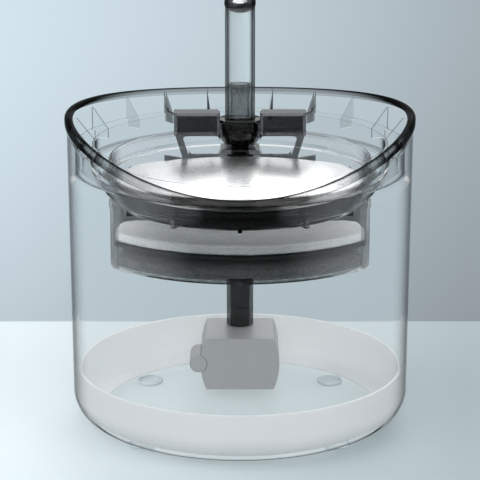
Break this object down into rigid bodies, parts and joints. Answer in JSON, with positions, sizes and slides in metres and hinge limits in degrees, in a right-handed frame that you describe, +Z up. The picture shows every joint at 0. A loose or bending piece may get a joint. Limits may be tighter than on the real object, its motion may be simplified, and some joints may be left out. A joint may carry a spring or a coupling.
{
  "type": "pet water fountain",
  "caption": "Clear round water fountain for pets: dipped tank, lift-out tray with filter chamber, steel drinking plate, bent faucet and submerged pump.",
  "frame": {"origin": "on the ground under the middle of the tank", "axes": "+Z up; -Y towards the drinking animal; +X to its right as seen from the front"},
  "size_m": [0.1632, 0.1629, 0.2142],
  "materials": {
    "clear_plastic": "clear glossy plastic",
    "white_plastic": "satin white",
    "foot_rubber": "matte grey rubber",
    "smoked_plastic": "smoked glossy plastic",
    "dark_plastic": "glossy dark grey",
    "riser_plastic": "glossy dark grey",
    "carbon_sponge": "open black sponge",
    "cotton": "white felted cotton",
    "polished_steel": "mirror polished",
    "seal_rubber": "matte black",
    "pump_plastic": "satin mid grey",
    "core_steel": "satin",
    "copper": "varnished copper wire",
    "ferrite": "dull black ferrite"
  },
  "bodies": {
    "base": {"tank": "clear_plastic", "base_liner": "white_plastic", "rubber_feet": "foot_rubber"},
    "pump": {"pump_housing": "pump_plastic", "motor_cap": "pump_plastic", "stator_core": "core_steel", "stator_coil": "copper", "impeller_shaft": "core_steel", "inner_bush": "seal_rubber", "cable_gland": "pump_plastic", "pump_foot": "foot_rubber"},
    "rotor": {"rotor_magnet": "ferrite", "impeller": "white_plastic"},
    "cover": {"pump_cover": "pump_plastic", "outer_bush": "seal_rubber"},
    "slider": {"flow_slider": "white_plastic"},
    "ring": {"tray_ring": "clear_plastic"},
    "bowl": {"filter_bowl": "smoked_plastic", "riser_tube": "riser_plastic", "riser_grommet": "seal_rubber"},
    "carbon": {"carbon_pad": "carbon_sponge"},
    "grid": {"pad_grid": "dark_plastic"},
    "pad": {"filter_pad": "cotton"},
    "plate": {"drinking_plate": "polished_steel"},
    "bridge": {"faucet_bridge": "dark_plastic", "tube_socket": "dark_plastic", "riser_seal": "seal_rubber"},
    "faucet_foot": {"faucet_seal": "seal_rubber"},
    "faucet": {"faucet_tube": "clear_plastic", "spout_nozzle": "dark_plastic"}
  },
  "joints": [
    {"name": "pump_lift", "type": "slide", "parent": "base", "child": "pump", "axis": [0, 0, 1], "range_m": [0, 0.04]},
    {"name": "tray_lift", "type": "slide", "parent": "pump", "child": "ring", "axis": [0, 0, 1], "range_m": [0, 0.04]},
    {"name": "bowl_lift", "type": "slide", "parent": "ring", "child": "bowl", "axis": [0, 0, 1], "range_m": [0, 0.03]},
    {"name": "bridge_lift", "type": "slide", "parent": "bowl", "child": "bridge", "axis": [0, 0, 1], "range_m": [0, 0.025]},
    {"name": "plate_lift", "type": "slide", "parent": "bowl", "child": "plate", "axis": [0, 0, 1], "range_m": [0, 0.025]},
    {"name": "carbon_lift", "type": "slide", "parent": "bowl", "child": "carbon", "axis": [0, 0, 1], "range_m": [0, 0.004]},
    {"name": "grid_lift", "type": "slide", "parent": "bowl", "child": "grid", "axis": [0, 0, 1], "range_m": [0, 0.01]},
    {"name": "pad_lift", "type": "slide", "parent": "grid", "child": "pad", "axis": [0, 0, 1], "range_m": [0, 0.01]},
    {"name": "faucet_pull", "type": "slide", "parent": "bridge", "child": "faucet_foot", "axis": [0, 0, 1], "range_m": [0, 0.025]},
    {"name": "faucet_turn", "type": "hinge", "parent": "faucet_foot", "child": "faucet", "pos_m": [0, 0.041, 0.15], "axis": [0, 0, 1], "continuous": true},
    {"name": "cover_slide", "type": "slide", "parent": "pump", "child": "cover", "axis": [0, 1, 0], "range_m": [0, 0.012]},
    {"name": "flow_slide", "type": "slide", "parent": "cover", "child": "slider", "axis": [1, 0, 0], "range_m": [0, 0.0077]},
    {"name": "impeller_spin", "type": "hinge", "parent": "pump", "child": "rotor", "pos_m": [0, 0.036, 0.0193], "axis": [0, 1, 0], "continuous": true}
  ]
}
